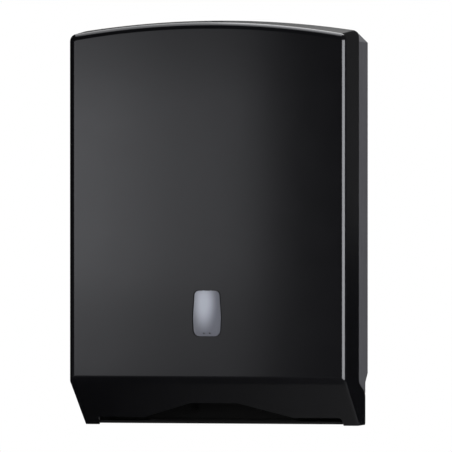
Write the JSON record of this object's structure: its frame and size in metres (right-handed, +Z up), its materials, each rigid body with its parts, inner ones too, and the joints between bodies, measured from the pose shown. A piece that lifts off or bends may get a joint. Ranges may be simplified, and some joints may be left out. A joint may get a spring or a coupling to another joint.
{
  "type": "paper towel dispenser",
  "caption": "Wall dispenser for folded paper towels: a hinged arched front cover with a sight window, a lock and a slot under a slanted chin, on a rear housing.",
  "frame": {"origin": "centre of the four wall screw holes, on the back plane", "axes": "+X to the right seen from the front, +Y into the wall, +Z up"},
  "size_m": [0.276, 0.13, 0.396],
  "materials": {
    "cover_black": "polished black ABS",
    "housing_black": "fine-textured black ABS",
    "inner_black": "plain moulded black ABS",
    "window_grey": "smoke-grey translucent plastic",
    "steel": "bright steel",
    "zinc": "zinc-plated steel",
    "lock_chrome": "chromed die casting",
    "plug_brass": "turned brass"
  },
  "bodies": {
    "base": {"rear_housing": "housing_black", "dispensing_tray": "inner_black", "tray_screws": "steel", "left_towel_guide": "inner_black", "right_towel_guide": "inner_black", "guide_screws": "steel", "left_hinge_pin": "steel", "right_hinge_pin": "steel", "keeper_bracket": "zinc", "keeper_stud": "steel", "keeper_screws": "steel"},
    "cover": {"front_cover": "cover_black", "sight_window": "window_grey", "lock_barrel": "lock_chrome", "lock_washer": "zinc", "lock_nut": "zinc"},
    "key": {"key_plug": "plug_brass", "hook_cam": "zinc", "cam_washer": "zinc", "cam_screw": "steel"}
  },
  "joints": [
    {"name": "cover_hinge", "type": "hinge", "parent": "base", "child": "cover", "pos_m": [0, -0.023, -0.193], "axis": [1, 0, 0], "range_deg": [0, 90]},
    {"name": "key_turn", "type": "hinge", "parent": "cover", "child": "key", "pos_m": [0, -0.085, 0.17], "axis": [0, 0, -1], "range_deg": [0, 90]}
  ]
}
